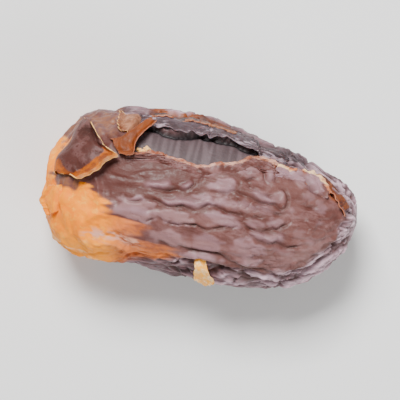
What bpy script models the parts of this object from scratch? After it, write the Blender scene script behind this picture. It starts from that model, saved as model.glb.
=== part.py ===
"""A medjool date lying on its side, as one solid: the wrinkled dried skin, the tear along
its back, the scar of the stem and the loose flaps of skin. Metres, +Z up, resting on z = 0.

The stem end points to -X and the tip to +X. Shapes are worked out in millimetres."""

import math

import bmesh
import bpy
import numpy as np
from mathutils import Vector, noise

MM = 0.001

# Driving dimensions of the fruit, in millimetres.
HALF_LENGTH = 24.5
HALF_WIDTH = 12.35
HALF_HEIGHT = 11.7
REST_CUT = 0.4
STEM_BLUNTNESS = 5.6
STEM_BLUNTNESS_FROM_THE_SIDE = 4.0
TIP_BLUNTNESS = 2.3
SECTION_POWER = 2.2
MIDDLE = 0.5
STEM_BEND = -1.1
WAIST_BEND = -0.8
TIP_BEND = 2.3

# How finely the solid is faceted.
FACETS_PER_QUARTER = 29
SOFTENING = 0.3

# Relief of the skin: size of a wrinkle plate along and around, and depths, in millimetres.
LUMP_SIZE = 11.0
LUMP_HEIGHT = 0.8
LUMP_SHIFT = Vector((0.3, 0.5, 0.0))
FOLD_LENGTH = 12.0
FOLD_WIDTH = 3.3
FOLD_HEIGHT = 1.2
PLATE_LENGTH = 9.0
PLATE_WIDTH = 3.6
GROOVE_DEPTH = 1.2
GROOVE_HALF_WIDTH = 0.8
CREASE_DEPTH = 1.35
CREASE_HALF_WIDTH = 0.75
TEAR_DEPTH = 1.2
TEAR_LIP = 0.45
BLISTER_HEIGHT = 0.1
CRUMPLE_SIZE = 5.0
CRUMPLE_HEIGHT = 1.5
SCAR_RADIUS = 2.9
SCAR_DEPTH = 1.2
TIP_NUB_RADIUS = 0.8
TIP_NUB_HEIGHT = 0.2

# The two torn edges of skin along the back, seen from above: the bare flesh shows between.
TEAR_NEAR_EDGE = [(-14.0, 5.6), (-9.4, 5.7), (-4.7, 5.6), (-0.7, 5.6), (1.1, 6.6), (3.7, 7.0),
                  (6.1, 8.6), (10.5, 8.6)]
TEAR_FAR_EDGE = [(-14.0, 9.6), (-9.2, 10.3), (-2.8, 10.7), (1.8, 11.1), (4.3, 10.6), (6.8, 10.2),
                 (10.5, 9.4)]
TEAR_ENDS = (-13.2, 10.0)

# The main creases of the upper side, seen from above.
CREASES = [
    [(0.8, 1.2), (3.5, 2.3), (4.7, 3.2), (8.5, 2.3), (12.1, 1.5), (13.2, 2.6)],
    [(-11.5, -1.0), (-5.9, -1.5), (1.2, -0.7), (6.7, -0.3), (10.4, 0.2), (12.6, 0.9)],
    [(-7.4, -5.4), (-5.8, -3.9), (-3.4, -4.5), (0.7, -3.5), (5.6, -3.2), (7.9, -2.2), (13.6, -1.4)],
    [(6.6, -0.9), (5.6, -3.2)],
    [(7.6, -1.7), (8.9, -3.4), (12.1, -3.2)],
    [(11.4, -4.6), (14.6, -4.0), (17.9, -2.8)],
    [(-0.1, -7.8), (4.6, -6.6), (7.6, -7.8), (11.4, -8.2), (15.2, -7.6)],
    [(11.6, 7.3), (13.3, 6.4), (17.8, 4.8), (19.4, 5.0)],
    [(13.1, 5.0), (13.7, 3.8), (13.3, 2.1), (14.3, 1.0)],
    [(15.3, 2.6), (16.8, 2.7), (17.4, 1.2)],
    [(8.1, 7.4), (9.7, 4.3), (11.6, 5.3), (13.1, 4.8)],
    [(5.6, 5.7), (6.4, 4.9), (8.4, 5.3), (9.1, 6.4)],
    [(-9.9, 0.0), (-7.2, 0.6), (-4.4, 1.3), (-1.6, 2.2)],
    [(-10.1, -11.0), (-5.8, -10.2), (-1.5, -9.1), (1.0, -7.4)],
]

# Each flap of loose skin: its root, sunk in the body, and its free edge, seen from above and
# given from left to right, with how high the free edge stands off and how far it curls up.
FLAPS = {
    "fold": {"root": [(-23.9, 0.2), (-24.9, 3.4), (-24.3, 6.3), (-22.8, 8.1), (-20.7, 9.0)],
             "edge": [(-20.3, -0.2), (-17.6, 0.3), (-14.1, 4.5), (-16.4, 5.9), (-18.9, 7.8)],
             "lift": 1.5, "curl": 0.6},
    "wing": {"root": [(-15.0, 7.4), (-13.2, 8.8), (-10.4, 11.1)],
             "edge": [(-12.9, 5.2), (-11.0, 5.5), (-8.8, 10.3)],
             "lift": 1.3, "curl": 0.5},
    "leaf": {"root": [(-21.2, -1.2), (-20.8, -3.6), (-21.2, -6.2)],
             "edge": [(-23.2, -2.4), (-23.8, -4.4), (-22.9, -6.6)],
             "lift": 0.9, "curl": 0.4},
    "flake": {"root": [(1.5, -8.7), (2.7, -8.4), (3.9, -8.9)],
              "edge": [(2.0, -11.2), (3.3, -11.5), (4.8, -11.0)],
              "lift": 0.8, "curl": 0.2},
    "rim": {"root": [(17.4, 9.2), (20.4, 7.5), (22.8, 5.7)],
            "edge": [(17.2, 7.6), (19.7, 5.8), (22.0, 3.6)],
            "lift": 0.6, "curl": 0.4},
}
FLAP_THICKNESS = 0.7
FLAP_STEPS_ALONG = 10
FLAP_STEPS_OUT = 5
ROOT_SINK = 1.0
RAGGED = 0.1

SKIN_COLOUR = (0.165, 0.075, 0.05, 1.0)
SKIN_ROUGHNESS = 0.45


def smooth(low, high, value):
    """0 below low, 1 above high, and an even ease between."""
    share = min(max((value - low) / (high - low), 0.0), 1.0)
    return share * share * (3.0 - 2.0 * share)


def drift(place):
    """A smooth random shift, about 0.5 at most each way, the same each run."""
    return Vector([noise.noise(place + Vector((0.0, 0.0, 40.0 * axis))) for axis in (1, 2, 3)])


def along_line(points, share):
    """The point at that share, from 0 to 1, of a line through plan points."""
    place = np.linspace(0.0, 1.0, len(points))
    return [float(np.interp(share, place, [p[axis] for p in points])) for axis in (0, 1)]


def distance_to_line(x, y, points):
    """How far a plan point is from a line of plan points."""
    nearest = math.inf
    for (ax, ay), (bx, by) in zip(points, points[1:]):
        run_x, run_y = bx - ax, by - ay
        share = ((x - ax) * run_x + (y - ay) * run_y) / (run_x * run_x + run_y * run_y)
        share = min(max(share, 0.0), 1.0)
        nearest = min(nearest, math.hypot(x - ax - share * run_x, y - ay - share * run_y))
    return nearest


# The plump form under the wrinkles.
def girth(t, stem_bluntness=STEM_BLUNTNESS):
    """The share of the full girth at t, which runs from -1 at the stem to 1 at the tip."""
    bluntness = stem_bluntness if t < 0 else TIP_BLUNTNESS
    return math.sqrt(max(1.0 - abs(t) ** bluntness, 0.0))


def height_share(t):
    """The share of the full height at t: the stem end is rounder from the side."""
    return girth(t, STEM_BLUNTNESS_FROM_THE_SIDE)


def middle_line(t):
    """How far the fruit's middle line lies to +Y at t."""
    return (MIDDLE + STEM_BEND * smooth(-0.3, -1.0, t) + WAIST_BEND * smooth(0.1, 0.5, t)
            + TIP_BEND * smooth(0.62, 1.05, t))


def plain_point(t, up, side):
    """The point of the smooth form at t, in the direction (side, up) round the axis."""
    squareness = (abs(up) ** SECTION_POWER + abs(side) ** SECTION_POWER) ** (1.0 / SECTION_POWER)
    return Vector((HALF_LENGTH * t,
                   middle_line(t) + HALF_WIDTH * girth(t) * side / squareness,
                   HALF_HEIGHT * height_share(t) * up / squareness))


def plain_top(x, y):
    """The height of the smooth form over a plan point, or of its rim past the outline."""
    t = min(max(x / HALF_LENGTH, -0.985), 0.985)
    reach = min(abs(y - middle_line(t)) / (HALF_WIDTH * girth(t)), 0.985)
    return HALF_HEIGHT * height_share(t) * (1.0 - reach**SECTION_POWER) ** (1.0 / SECTION_POWER)


def plain_normal(x, y, step=0.6):
    """The direction straight out of the smooth form's upper side over a plan point."""
    slope_x = plain_top(x + step, y) - plain_top(x - step, y)
    slope_y = plain_top(x, y + step) - plain_top(x, y - step)
    return Vector((-slope_x, -slope_y, 2.0 * step)).normalized()


# Relief, each as a height in millimetres over the smooth form.
def wrinkle_space(point, up, side):
    """Where a point lies in the space that the wrinkles are drawn in. They run together at
    the two ends, as the skin does."""
    spread = 0.45 * HALF_WIDTH + 0.55 * math.hypot(point.y - middle_line(0.0), point.z)
    return Vector((point.x, spread * side, spread * up))


def folds(place):
    """Broad folds that run lengthwise."""
    stretched = Vector((place.x / FOLD_LENGTH, place.y / FOLD_WIDTH, place.z / FOLD_WIDTH))
    bent = stretched + 0.5 * drift(stretched * 0.7)
    return FOLD_HEIGHT * noise.noise(bent)


def plates(place):
    """Flat-topped plates of skin with a narrow groove between each two."""
    scale = Vector((1.0 / PLATE_LENGTH, 1.0 / PLATE_WIDTH, 1.0 / PLATE_WIDTH))
    spot = place * scale
    spot += 0.6 * drift(spot * 0.9) + 0.2 * drift(spot * 2.7)
    centres = noise.voronoi(spot)[1]
    across = (centres[1] - centres[0]).normalized()
    to_border = ((centres[0] + centres[1]) / 2 - spot).dot(across)
    gap = to_border / (across * scale).length
    return -GROOVE_DEPTH * math.exp(-((gap / GROOVE_HALF_WIDTH) ** 2))


def creases(x, y):
    """The main creases of the upper side."""
    shift = drift(Vector((x, y, 0.0)) / 2.5)
    x, y = x + 0.6 * shift.x, y + 0.6 * shift.y
    gap = min(distance_to_line(x, y, line) for line in CREASES)
    return -CREASE_DEPTH * math.exp(-((gap / CREASE_HALF_WIDTH) ** 2))


def tear(x, y):
    """Height of the tear along the back: bare flesh below the skin, and a raised lip of skin
    on both sides. Also how far the flesh is bare, from 0 to 1."""
    ragged = 0.5 * noise.noise(Vector((x / 1.6, 4.0, 0.0)))
    inside_near = y - float(np.interp(x, *zip(*TEAR_NEAR_EDGE))) - ragged
    inside_far = float(np.interp(x, *zip(*TEAR_FAR_EDGE))) - ragged - y
    there = smooth(TEAR_ENDS[0], TEAR_ENDS[0] + 2.0, x) * (
        1.0 - smooth(TEAR_ENDS[1] - 2.0, TEAR_ENDS[1], x))
    bare = there * smooth(0.0, 0.6, inside_near) * smooth(0.0, 0.6, inside_far)
    lips = sum(math.exp(-(((inside + 0.45) / 0.7) ** 2)) for inside in (inside_near, inside_far))
    return (1.0 - bare) * there * TEAR_LIP * lips - TEAR_DEPTH * bare, bare


def loose(x, y, up):
    """1 where the skin has come off the flesh as a blister, round the stem end and low on
    the far side, and 0 where it clings."""
    border = -15.0 + 6.5 * smooth(0.0, -9.0, y) + 1.5 * noise.noise(Vector((0.0, y / 3.0, 2.0)))
    stem_end = 1.0 - smooth(border - 1.5, border + 1.5, x)
    far_side = smooth(0.55, 1.0, math.exp(-((x - 5.0) / 8.0) ** 2)) * smooth(7.0, 11.0, y)
    return max(stem_end, far_side * smooth(0.1, -0.3, up))


def crumple(point):
    """Sharp-edged folds, as in stiff dry skin."""
    spot = point / CRUMPLE_SIZE
    coarse = abs(noise.noise(spot + 0.5 * drift(spot)))
    fine = abs(noise.noise(2.1 * spot + 0.5 * drift(2.0 * spot)))
    return CRUMPLE_HEIGHT * (0.25 - coarse - 0.4 * fine)


def scar(t, point):
    """The round hollow that the stem left, with its lip and the stub in its middle."""
    if t > 0:
        return 0.0
    out = math.hypot(point.y - middle_line(-1.0), point.z)
    hollow = -SCAR_DEPTH * (1.0 - smooth(0.55 * SCAR_RADIUS, SCAR_RADIUS, out))
    lip = 0.35 * math.exp(-((out - 1.25 * SCAR_RADIUS) / 0.7) ** 2)
    stub = 0.6 * SCAR_DEPTH * (1.0 - smooth(0.15 * SCAR_RADIUS, 0.5 * SCAR_RADIUS, out))
    return hollow + lip + stub


def tip_nub(t, point):
    """The small hard point at the tip."""
    if t < 0:
        return 0.0
    out = math.hypot(point.y - middle_line(1.0), point.z)
    return TIP_NUB_HEIGHT * math.exp(-((out / TIP_NUB_RADIUS) ** 2))


def relief(t, up, side, point):
    """The whole height of the skin over the smooth form."""
    place = wrinkle_space(point, up, side)
    seen = smooth(-0.05, 0.3, up)
    torn, bare = tear(point.x, point.y)
    bare *= seen
    blister = loose(point.x, point.y, up)
    pressed = 0.8 * smooth(-0.8, -0.97, up)
    clings = (1.0 - bare) * (1.0 - 0.75 * blister) * (1.0 - pressed)
    height = LUMP_HEIGHT * noise.noise(point / LUMP_SIZE + LUMP_SHIFT)
    height += clings * folds(place)
    height += clings * (1.0 - 0.5 * seen) * plates(place)
    height += clings * seen * creases(point.x, point.y)
    height += blister * (BLISTER_HEIGHT + crumple(point))
    height += seen * torn
    at_the_end = smooth(0.93, 0.995, abs(t))
    return (1.0 - 0.85 * at_the_end) * height + scar(t, point) + tip_nub(t, point)


# The solids.
def make_body(collection):
    """The body: a cube rounded to a ball and drawn out to the fruit's form, then wrinkled
    along its normals."""
    mesh = bpy.data.meshes.new("medjool_date")
    shape = bmesh.new()
    bmesh.ops.create_cube(shape, size=2.0)
    bmesh.ops.subdivide_edges(
        shape, edges=shape.edges[:], cuts=FACETS_PER_QUARTER - 1, use_grid_fill=True)
    ways = []
    for vertex in shape.verts:
        ball = Vector([math.tan(share * math.pi / 4.0) for share in vertex.co]).normalized()
        out = math.hypot(ball.y, ball.z)
        side, up = (ball.y / out, ball.z / out) if out > 1e-6 else (0.0, 1.0)
        ways.append((ball.x, up, side))
        vertex.co = plain_point(ball.x, up, side)
    shape.normal_update()
    heights = [relief(*way, vertex.co) for way, vertex in zip(ways, shape.verts)]
    for height, vertex in zip(heights, shape.verts):
        vertex.co += height * vertex.normal
    bmesh.ops.smooth_vert(shape, verts=shape.verts[:], factor=SOFTENING,
                          use_axis_x=True, use_axis_y=True, use_axis_z=True)
    rest_height = REST_CUT - HALF_HEIGHT
    for vertex in shape.verts:
        vertex.co.z = max(vertex.co.z, rest_height)
        vertex.co = MM * (vertex.co - Vector((0.0, 0.0, rest_height)))
    bmesh.ops.triangulate(shape, faces=shape.faces[:], quad_method="SHORT_EDGE")
    shape.to_mesh(mesh)
    shape.free()
    body = bpy.data.objects.new("medjool_date", mesh)
    collection.objects.link(body)
    return body


def flap_point(flap, along, out):
    """A point of a flap: along runs down its length and out from its root to its free edge."""
    root_x, root_y = along_line(flap["root"], along)
    edge_x, edge_y = along_line(flap["edge"], along)
    ragged = 1.0 + out * RAGGED * noise.noise(Vector((2.5 * along, root_x / 3.0, root_y / 3.0)))
    x = root_x + (edge_x - root_x) * out * ragged
    y = root_y + (edge_y - root_y) * out * ragged
    height = -ROOT_SINK + (ROOT_SINK + flap["lift"]) * smooth(0.0, 0.35, out)
    height += flap["curl"] * smooth(0.75, 1.0, out)
    return Vector((x, y, plain_top(x, y))) + height * plain_normal(x, y)


def make_flap(name, flap, collection):
    """A curled blade of skin."""
    mesh = bpy.data.meshes.new(name)
    shape = bmesh.new()
    bmesh.ops.create_grid(shape, x_segments=FLAP_STEPS_ALONG, y_segments=FLAP_STEPS_OUT, size=0.5)
    lift = Vector((0.0, 0.0, HALF_HEIGHT - REST_CUT))
    for vertex in shape.verts:
        point = flap_point(flap, vertex.co.x + 0.5, vertex.co.y + 0.5)
        vertex.co = MM * (point + lift)
    shape.to_mesh(mesh)
    shape.free()
    blade = bpy.data.objects.new(name, mesh)
    collection.objects.link(blade)
    thicken = blade.modifiers.new("thickness", "SOLIDIFY")
    thicken.thickness = FLAP_THICKNESS * MM
    thicken.offset = 0.0
    return blade


def fuse(body, blades):
    """Joins the flaps to the body as one solid."""
    union = body.modifiers.new("flaps", "BOOLEAN")
    union.operation = "UNION"
    union.operand_type = "COLLECTION"
    union.collection = blades
    graph = bpy.context.evaluated_depsgraph_get()
    fused = bpy.data.meshes.new_from_object(body.evaluated_get(graph))
    body.modifiers.clear()
    body.data = fused
    for blade in list(blades.objects):
        bpy.data.objects.remove(blade)
    bpy.data.collections.remove(blades)


def skin_material():
    """Dark, satin, slightly red-brown."""
    material = bpy.data.materials.new("date_skin")
    material.use_nodes = True
    shader = material.node_tree.nodes["Principled BSDF"]
    shader.inputs["Base Color"].default_value = SKIN_COLOUR
    shader.inputs["Roughness"].default_value = SKIN_ROUGHNESS
    shader.inputs["Metallic"].default_value = 0.0
    return material


def main():
    for old in list(bpy.data.objects):
        bpy.data.objects.remove(old)
    fruit = bpy.data.collections.new("medjool_date")
    blades = bpy.data.collections.new("skin_flaps")
    for collection in (fruit, blades):
        bpy.context.scene.collection.children.link(collection)
    body = make_body(fruit)
    for name, flap in FLAPS.items():
        make_flap(name, flap, blades)
    fuse(body, blades)
    body.data.materials.clear()
    body.data.materials.append(skin_material())
    body.data.shade_smooth()


main()
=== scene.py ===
"""The looks of a dried medjool date lying on its side: a finely wrinkled skin, the tear along
its back with bare flesh in it, amber loose skin round the stem end and thin curled flaps.

The stem end points to -X and the tip to +X. Shapes are worked out in millimetres, over the
flat spot that the date rests on, and turned into metres as each mesh is made."""

import math

import bmesh
import bpy
import numpy as np
from mathutils import Matrix, Vector, kdtree, noise
from mathutils.bvhtree import BVHTree


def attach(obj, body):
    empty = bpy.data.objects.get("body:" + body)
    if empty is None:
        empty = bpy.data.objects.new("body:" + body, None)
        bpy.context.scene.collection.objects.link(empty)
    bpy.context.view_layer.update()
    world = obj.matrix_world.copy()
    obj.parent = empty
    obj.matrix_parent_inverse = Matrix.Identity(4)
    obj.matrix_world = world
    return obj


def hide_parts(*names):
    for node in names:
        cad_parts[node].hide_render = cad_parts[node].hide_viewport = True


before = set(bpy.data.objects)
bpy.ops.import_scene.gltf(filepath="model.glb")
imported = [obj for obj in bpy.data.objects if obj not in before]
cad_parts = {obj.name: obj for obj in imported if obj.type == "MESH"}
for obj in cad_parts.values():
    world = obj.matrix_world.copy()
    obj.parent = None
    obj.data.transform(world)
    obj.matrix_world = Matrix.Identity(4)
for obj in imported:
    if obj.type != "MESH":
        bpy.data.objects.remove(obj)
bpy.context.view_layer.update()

MM = 0.001

# The fruit's form, in millimetres.
HALF_LENGTH = 24.5
HALF_WIDTH = 12.35
HALF_HEIGHT = 11.7
REST_CUT = 0.4
STEM_BLUNTNESS = 5.6
STEM_BLUNTNESS_FROM_THE_SIDE = 4.0
TIP_BLUNTNESS = 2.3
SECTION_POWER = 2.2
MIDDLE = 0.5
STEM_BEND = -1.1
WAIST_BEND = -0.8
TIP_BEND = 2.3
FACETS_ALONG = 170
FACETS_ROUND = 104

# Relief of the skin, in millimetres.
LUMP_SIZE = 11.0
LUMP_HEIGHT = 0.8
LUMP_SHIFT = Vector((0.3, 0.5, 0.0))
FOLD_LENGTH = 12.0
FOLD_WIDTH = 3.3
FOLD_HEIGHT = 1.0
LOBE_SIZE = 3.4
LOBE_HEIGHT = 0.4
PLATE_LENGTH = 9.0
PLATE_WIDTH = 3.6
GROOVE_DEPTH = 0.7
GROOVE_HALF_WIDTH = 0.42
CREASE_DEPTH = 0.48
CREASE_HALF_WIDTH = 0.23
CRACK_LENGTH = 4.0
CRACK_WIDTH = 1.9
CRACK_DEPTH = 0.15
CRACK_HALF_WIDTH = 0.15
PLATE_HEIGHT = 0.18
RIDGE_HEIGHT = 0.4
RIDGE_HALF_WIDTH = 0.5
KNOB_SIZE = 1.7
KNOB_HEIGHT = 0.3
TEAR_DEPTH = 1.0
TEAR_UNDERCUT = 0.4
TEAR_LIP = 0.3
SEAM_DEPTH = 0.3
TIP_STEP = 0.7
STREAK_HEIGHT = 0.35
STREAK_HALF_WIDTH = 0.32
BLISTER_HEIGHT = 0.1
CRUMPLE_SIZE = 5.0
CRUMPLE_HEIGHT = 1.3
FINE_LENGTH = 5.5
FINE_WIDTH = 1.0
FINE_HEIGHT = 0.42
SCAR_RADIUS = 2.9
SCAR_DEPTH = 1.2
STEM_DENT = 1.1
TIP_NUB_RADIUS = 0.8
TIP_NUB_HEIGHT = 0.15

# The two torn edges of skin along the back, seen from above: the bare flesh shows between.
# The near one runs on to the tip as the edge of the upper skin.
TEAR_NEAR_EDGE = [(-14.0, 4.6), (-12.1, 5.1), (-9.4, 5.7), (-6.9, 6.0), (-4.7, 5.7), (-2.7, 5.5),
                  (-0.5, 5.4), (1.2, 6.2), (3.6, 6.8), (4.7, 7.3), (6.1, 8.0), (8.0, 8.2),
                  (10.5, 7.8), (12.9, 7.7), (15.2, 7.5), (17.4, 6.7), (18.7, 5.6), (20.7, 4.2),
                  (22.2, 2.9)]
TEAR_FAR_EDGE = [(-14.0, 9.6), (-12.0, 10.1), (-9.2, 10.3), (-5.5, 10.1), (-2.8, 10.7), (1.8, 11.0),
                 (4.3, 10.5), (6.8, 10.2), (9.0, 9.7), (12.0, 9.2)]

# Where the tear and the layers of skin at its edges begin and end along X.
TEAR_ENDS = (-13.2, 10.0)
LIP_ENDS = (-13.6, 22.4)
TIP_STEP_ENDS = (9.0, 22.6)
STRIP_ENDS = (-11.5, 16.5)
SEAM_ENDS = (-11.5, 11.0)
LAYER_ENDS = (-11.0, 4.0)

# Where each kind of skin sets in, as the two ends of an ease: the first ones in shares of
# straight up or of the half length, the others along X or Y.
UPPER_SIDE = (-0.05, 0.3)
UNDERSIDE = (-0.8, -0.97)
FLANK_SLOPE = (0.6, 0.72)
END_CAPS = (0.93, 0.995)
STEM_END = (-15.0, -19.0)
EVEN_TIP = (12.0, 16.0)
EVEN_STEM_HALF = (0.0, -6.0)
CALM_STEM_HALF = (3.0, -4.0)
STEM_DENT_X = (-20.0, -23.5)
KNOBBY_TIP = (13.0, 16.5)
BROWN_TIP = (-14.0, 1.0)
SHINY_FLANK = (6.0, 18.0)
TONGUES = (-15.0, -10.0)
# Where the amber of the low side is painted paler, as painted light, along X and along Y.
PAINTED_LIGHT_LOW_X = (-9.0, -13.0)
PAINTED_LIGHT_LOW_Y = (-7.5, -10.0)
TAN_BACK_Y = (6.6, 7.8)
TAN_HOLLOW_X = (-17.5, -19.0)
TAN_HOLLOW_Y = (-3.5, -2.5)
RED_Y = (-1.4, 0.2)

# Stretches of skin along X, and where the streaks and the dent of the stem end lie in Y.
RED_X = (-18.0, 2.0)
CRACKED_X = (2.0, 15.0)
PINK_X = (-17.5, -6.5)
PINK_Y = -7.9
TAN_BACK_X = (-21.0, -14.0)
STEM_DENT_Y = -4.6

# The +X border of the amber skin at each Y of the upper side, the middle and half sizes of the brown
# hollow in it, and its low rim, along which a painted highlight runs.
AMBER_BORDER = [(-12.0, -11.5), (-8.5, -10.9), (-6.5, -10.2), (-3.5, -9.5), (-1.4, -8.7), (-1.9, -7.9),
                (-4.5, -7.5), (-9.0, -7.1), (-8.3, -6.4), (-7.2, -5.4), (-8.4, -4.8), (-13.4, -4.5),
                (-13.6, -3.6), (-14.3, -2.4), (-15.8, -1.6), (-17.0, -1.2), (-18.2, -0.6), (-23.1, -0.3),
                (-21.5, 3.0), (-22.0, 6.0), (-24.5, 7.2)]
AMBER_HOLLOW = (-20.6, -1.0)
AMBER_HOLLOW_SIZE = (2.4, 1.1)
AMBER_RIM = [(-22.5, -6.8), (-21.7, -8.2), (-20.8, -9.6), (-19.2, -10.5), (-17.2, -11.1),
             (-14.6, -11.3), (-12.0, -11.4)]

# The border past which the skin of the tip is grey and finely wrinkled.
TIP_RIM = [(12.4, -9.0), (14.6, -8.0), (17.2, -6.5), (19.0, -5.0), (20.3, -3.0), (21.2, -1.0),
           (21.6, 1.0), (21.8, 3.0), (30.0, 4.0)]

# The main creases of the upper side, seen from above.
CREASES = [
    [(1.2, 1.3), (3.4, 2.3), (4.7, 3.3), (5.5, 2.8), (8.1, 2.1), (10.9, 1.9), (12.0, 1.4), (12.8, 2.1),
     (13.3, 3.4), (12.9, 4.6), (11.9, 5.1), (11.2, 5.2)],
    [(-11.5, -1.0), (-8.4, -1.5), (-6.2, -1.2), (-2.0, -0.8), (2.3, -0.4), (4.9, -0.1), (7.0, -0.5),
     (10.9, 0.0)],
    [(-8.2, -5.2), (-6.8, -4.2), (-5.6, -3.4), (-4.6, -3.8), (-2.0, -4.2), (0.2, -3.6), (2.3, -3.6),
     (5.1, -2.9), (6.0, -2.1), (6.4, -1.3)],
    [(6.6, -1.5), (7.4, -1.6), (8.7, -2.4), (10.0, -2.6), (11.7, -1.9), (13.0, -1.5), (13.6, -0.4),
     (14.0, 0.5)],
    [(8.5, -3.2), (9.6, -3.6), (11.3, -3.5), (12.6, -3.4), (14.3, -3.9), (15.8, -3.6), (17.3, -3.0)],
    [(-1.4, -7.4), (1.0, -7.2), (3.0, -7.4), (5.0, -7.5), (6.6, -7.9), (8.0, -8.4), (9.6, -8.8),
     (12.0, -8.5), (14.6, -8.2)],
    [(11.6, 7.1), (13.0, 6.5), (14.3, 6.2), (15.8, 5.9), (16.9, 5.2), (18.4, 4.7), (19.6, 4.5)],
    [(15.1, 3.0), (16.2, 2.7), (17.1, 2.8), (17.0, 1.8)],
    [(8.3, 7.5), (8.5, 6.4), (9.2, 4.8)],
    [(10.8, 7.5), (10.8, 6.4), (10.4, 5.4)],
    [(5.4, 5.4), (7.0, 5.5), (8.3, 5.8)],
    [(9.4, 3.0), (10.2, 3.3), (11.1, 3.9)],
    [(-9.0, 0.4), (-6.0, 1.0), (-4.0, 1.2), (-2.8, 1.0), (-1.9, 1.9), (-1.7, 3.0), (-2.2, 4.0)],
    [(-10.1, -10.8), (-5.8, -10.2), (-1.5, -9.1), (1.0, -8.9), (4.2, -9.4)],
    [(-18.8, 8.3), (-16.6, 7.0), (-14.7, 6.4), (-13.2, 5.3)],
    [(10.2, 1.2), (11.2, 0.7), (12.6, 1.0), (13.6, 1.6)],
    [(-0.8, 2.4), (-0.6, 3.8), (0.2, 5.0)],
    [(4.9, 3.4), (5.3, 4.4), (5.0, 5.4)],
]

# Narrow raised folds of the upper side, seen from above, with a painted highlight along their crests.
RIDGES = [
    [(-9.2, 0.8), (-7.0, 1.5), (-4.7, 2.2)],
    [(-3.6, 1.7), (-2.5, 2.1), (-2.1, 3.3)],
    [(-5.8, -0.8), (-2.0, -0.2), (2.5, 0.1)],
    [(9.6, 7.7), (9.8, 6.6), (9.9, 5.3)],
    [(12.8, 7.4), (15.0, 6.9), (17.6, 5.8)],
    [(8.4, -2.8), (10.8, -3.1), (12.8, -2.9), (13.9, -2.0)],
    [(13.4, 2.0), (14.3, 1.6)],
    [(7.2, 3.3), (9.4, 2.9), (11.4, 2.2)],
    [(0.2, -8.1), (2.8, -8.0), (4.6, -8.3)],
    [(7.7, -7.5), (9.6, -7.3)],
]

# Flat raised plates of the upper side, painted paler than the skin round them as a bloom with painted
# sheen: the middle of each, its half length and half width, its turn in degrees and how pale it is.
PLATES = [
    (-9.3, -2.9, 3.7, 1.7, -4.0, 1.0), (-3.3, -2.9, 2.7, 1.1, 2.0, 1.4), (-3.8, -6.2, 3.1, 1.1, 4.0, 1.0),
    (3.0, 3.2, 2.0, 1.3, 24.0, 0.8), (6.4, 6.7, 1.5, 1.1, -5.0, 0.7), (11.5, 3.2, 1.1, 1.0, 40.0, 0.6),
    (4.2, -1.7, 3.0, 1.1, 0.0, 0.7), (9.0, -1.3, 1.6, 0.6, 5.0, 0.5), (2.4, -5.6, 2.3, 1.2, 0.0, 0.6),
    (15.4, 6.2, 2.6, 0.8, -22.0, 0.9), (9.3, -7.6, 1.7, 0.5, 8.0, 1.4), (3.1, -8.2, 1.5, 0.45, -4.0, 1.4),
    (0.1, -8.4, 1.2, 0.6, 10.0, 1.6), (18.3, 3.0, 0.8, 0.8, 0.0, 0.5), (18.6, 0.8, 0.7, 0.5, 0.0, 0.5),
    (15.7, -1.4, 0.9, 0.9, 0.0, 0.4), (17.8, -1.9, 0.7, 0.5, 20.0, 0.4), (12.2, -0.8, 1.1, 0.9, 0.0, 0.45),
    (8.6, -5.4, 3.0, 1.3, 0.0, 0.65), (0.6, 5.0, 1.4, 0.6, 20.0, 0.4), (16.2, 4.4, 1.0, 0.7, 0.0, 0.5),
    (8.0, 1.0, 4.2, 0.7, 4.0, 0.4), (2.2, 0.7, 3.2, 0.6, 3.0, 0.8), (13.8, -8.0, 1.7, 0.4, 4.0, 0.8),
    (9.6, 6.6, 0.5, 1.6, 5.0, 0.7), (14.2, -4.6, 2.0, 0.7, 0.0, 0.3),
]

# Sharp raised folds of the flank towards the tip, seen from above, with a painted highlight along each.
STREAKS = [
    [(12.6, -11.4), (15.4, -10.0), (18.0, -8.4), (20.0, -6.6), (21.6, -4.6)],
    [(16.8, -8.2), (19.4, -6.2), (21.2, -3.8), (22.4, -1.6), (22.6, -3.0)],
    [(22.3, -0.4), (22.6, 1.0), (22.7, 2.4), (23.2, 3.4)],
    [(23.2, -2.2), (24.0, -0.2), (24.2, 1.6)],
    [(5.0, -10.6), (8.2, -9.7), (11.6, -9.4), (15.0, -8.9)],
    [(3.6, -11.6), (7.4, -11.2), (10.4, -11.3)],
    [(-6.4, -9.7), (-3.0, -9.5), (-0.4, -9.3)],
    [(-11.0, 11.6), (-8.0, 12.2), (-4.5, 12.5), (-1.0, 12.5)],
]

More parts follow.
